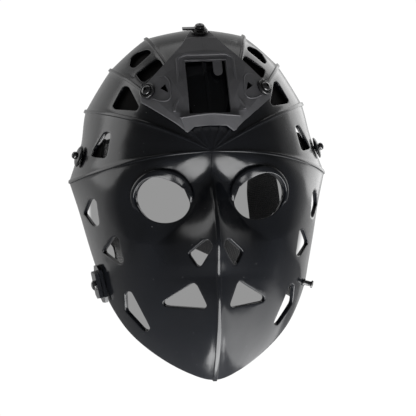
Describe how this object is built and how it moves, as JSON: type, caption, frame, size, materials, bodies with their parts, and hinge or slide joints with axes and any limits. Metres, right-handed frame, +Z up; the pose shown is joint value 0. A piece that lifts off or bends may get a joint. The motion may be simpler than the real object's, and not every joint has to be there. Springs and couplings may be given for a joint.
{
  "type": "tactical hockey mask",
  "caption": "Ribbed near-black plastic face and forehead mask with round eye openings, vents, a forehead accessory shroud and a webbing head harness, in its worn shape.",
  "frame": {"origin": "centre of the wearer's head, level with the mask's nose bridge and 95 mm behind it", "axes": "+Z up, the face looks along -Y, +X to the wearer's left"},
  "size_m": [0.1814, 0.2272, 0.2403],
  "materials": {
    "shell_plastic": "glossy moulded, nearly black",
    "shroud_plastic": "matte, finely grained, dark grey",
    "black_steel": "blackened, glossy",
    "webbing": "woven, matte black",
    "pad_foam": "soft foam, matte black"
  },
  "bodies": {
    "root": {"crown_screw": "black_steel", "crown_strap": "webbing", "crown_tab": "black_steel", "crown_washer": "black_steel", "forehead_pad": "pad_foam", "jaw_clip_base": "shell_plastic", "jaw_clip_plate": "shell_plastic", "jaw_clip_screw": "black_steel", "jaw_stud": "black_steel", "lower_strap": "webbing", "mask_shell": "shell_plastic", "shroud": "shroud_plastic", "shroud_screw_left": "black_steel", "shroud_screw_right": "black_steel", "shroud_washer_left": "black_steel", "shroud_washer_right": "black_steel", "side_strap_left": "webbing", "side_strap_right": "webbing", "temple_disc_left": "shell_plastic", "temple_disc_right": "shell_plastic", "temple_screw_left": "black_steel", "temple_screw_right": "black_steel", "upper_strap": "webbing"}
  },
  "joints": []
}
